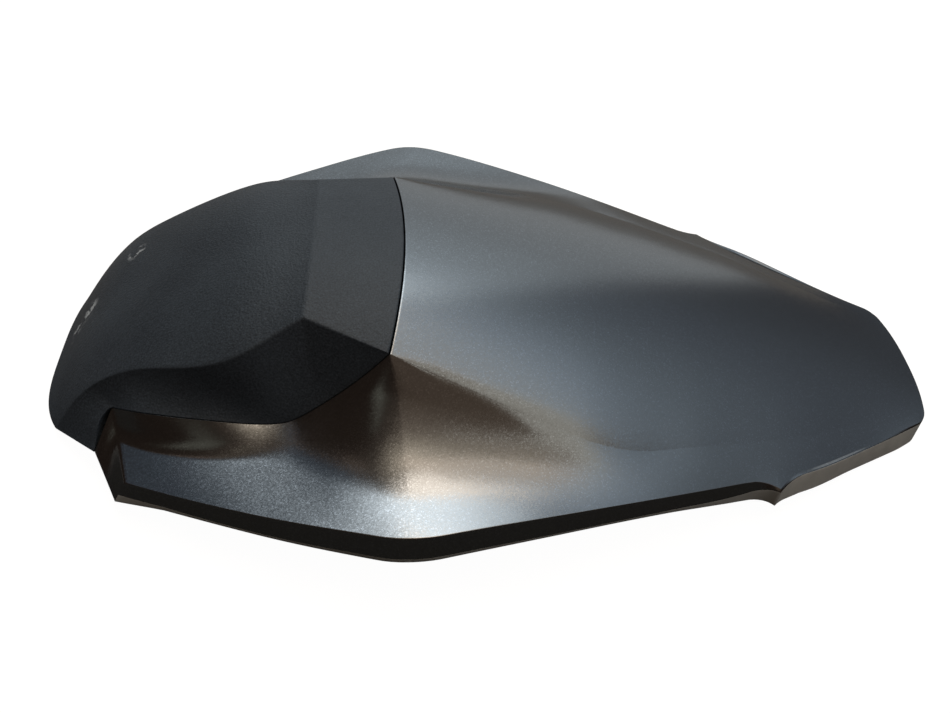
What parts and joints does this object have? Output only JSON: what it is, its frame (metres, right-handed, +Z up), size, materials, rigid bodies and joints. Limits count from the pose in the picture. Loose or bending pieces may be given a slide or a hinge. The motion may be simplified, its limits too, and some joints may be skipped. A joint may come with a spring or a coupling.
{
  "type": "seat cowl",
  "caption": "Single-seat cowl for a motorbike: a dark metallic shell with a black rider stop, a ribbed base pan, a front tongue and a lock striker.",
  "frame": {"origin": "middle of the bounding box in plan, on the rest plane", "axes": "+X toward the tail, +Z up, and the part is mirrored across the XZ plane"},
  "size_m": [0.3832, 0.2342, 0.0718],
  "materials": {
    "shell_paint": "clear-coated dark metallic grey",
    "stop_black": "fine leather grain",
    "pan_black": "moulded, fine texture",
    "striker_steel": "zinc plated",
    "bolt_steel": "zinc plated",
    "screw_steel": "blackened",
    "damper_rubber": "matte"
  },
  "bodies": {
    "root": {"painted_shell": "shell_paint", "front_pad": "stop_black", "base_pan": "pan_black", "striker_plate": "striker_steel", "lock_striker": "striker_steel", "striker_bolts": "bolt_steel", "striker_nuts": "bolt_steel", "shell_screws": "screw_steel", "pad_screws": "screw_steel", "rubber_dampers": "damper_rubber"}
  },
  "joints": []
}
